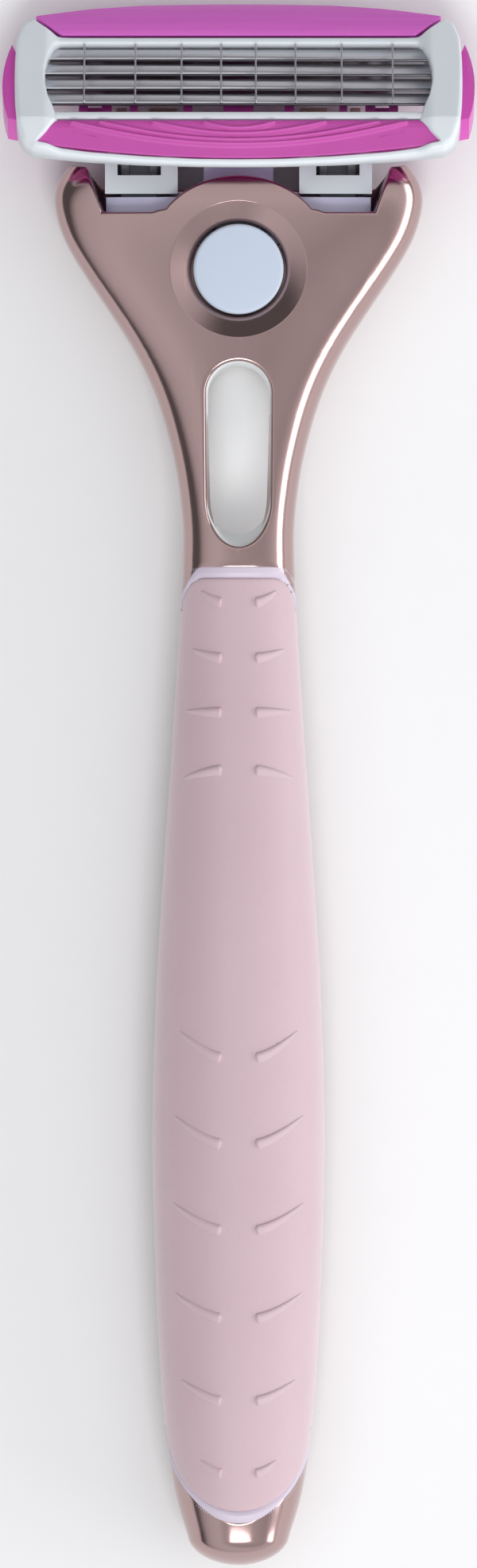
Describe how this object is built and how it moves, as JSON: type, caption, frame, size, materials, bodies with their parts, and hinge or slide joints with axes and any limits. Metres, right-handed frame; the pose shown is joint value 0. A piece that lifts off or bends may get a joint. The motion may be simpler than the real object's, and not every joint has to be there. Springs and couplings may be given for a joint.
{
  "type": "cartridge razor",
  "caption": "Wet-shaving razor: long handle with soft front grip, slotted neck, wide yoke with round release button, and a sprung pivoting multi-blade cartridge that pulls off.",
  "frame": {"origin": "centre of the part's footprint, on the surface that it lies on", "axes": "+X across the handle, +Y along the handle from the tail to the cartridge, +Z out of the shaving side"},
  "size_m": [0.0434, 0.1442, 0.013],
  "materials": {
    "rose_gold": "metallised plastic, polished rose gold",
    "pale_rim": "satin pale lavender",
    "soft_grip": "matt pink elastomer",
    "white_plastic": "satin white",
    "button_plastic": "satin pale blue white",
    "lavender_plastic": "satin lavender",
    "grey_plastic": "matt grey",
    "magenta_plastic": "satin magenta",
    "guard_rubber": "soft magenta elastomer",
    "lubricant": "waxy magenta strip",
    "blade_steel": "polished, lengthwise grain",
    "spring_steel": "dull steel"
  },
  "bodies": {
    "handle": {"front_shell": "rose_gold", "back_shell": "rose_gold", "tail_cap": "rose_gold", "grip_carrier": "pale_rim", "front_grip": "soft_grip", "inner_core": "white_plastic", "docking_nose": "lavender_plastic", "latch_arm_right": "grey_plastic", "latch_arm_left": "grey_plastic", "button_spring": "spring_steel", "plunger_spring": "spring_steel"},
    "button": {"release_button": "button_plastic"},
    "ejector": {"ejector_slide": "white_plastic"},
    "plunger": {"return_plunger": "lavender_plastic"},
    "connector": {"cartridge_connector": "white_plastic"},
    "cartridge": {"cartridge_housing": "magenta_plastic", "face_frame": "white_plastic", "lubricating_strip": "lubricant", "guard_pad": "guard_rubber", "blade_1": "blade_steel", "blade_2": "blade_steel", "blade_3": "blade_steel", "blade_4": "blade_steel", "blade_support_1": "spring_steel", "blade_support_2": "spring_steel", "blade_support_3": "spring_steel", "blade_support_4": "spring_steel", "guard_wire_1": "blade_steel", "guard_wire_2": "blade_steel", "guard_wire_3": "blade_steel", "guard_wire_4": "blade_steel", "guard_wire_5": "blade_steel", "guard_wire_6": "blade_steel", "guard_wire_7": "blade_steel", "guard_wire_8": "blade_steel"}
  },
  "joints": [
    {"name": "button_press", "type": "slide", "parent": "handle", "child": "button", "axis": [0, 0, -1], "range_m": [0, 0.0016], "stiffness_N_per_m": 400, "springref_m": -0.002, "deforming": ["button_spring"]},
    {"name": "ejector_travel", "type": "slide", "parent": "handle", "child": "ejector", "axis": [0, 1, 0], "range_m": [0, 0.0017]},
    {"name": "cartridge_pull_off", "type": "slide", "parent": "handle", "child": "connector", "axis": [0, 1, 0], "range_m": [0, 0.014]},
    {"name": "cartridge_pivot", "type": "hinge", "parent": "connector", "child": "cartridge", "pos_m": [0, 0.0596, 0.00488], "axis": [-1, 0, 0], "range_deg": [0, 40], "stiffness_Nm_per_rad": 0.02, "springref_deg": -17.19},
    {"name": "plunger_travel", "type": "slide", "parent": "handle", "child": "plunger", "axis": [0, -1, 0], "range_m": [0, 0.0016], "deforming": ["plunger_spring"]}
  ],
  "couplings": [
    {"joint": "ejector_travel", "follows": "button_press", "ratio": 1},
    {"joint": "plunger_travel", "follows": "cartridge_pivot", "m_per_rad": 0.002}
  ]
}
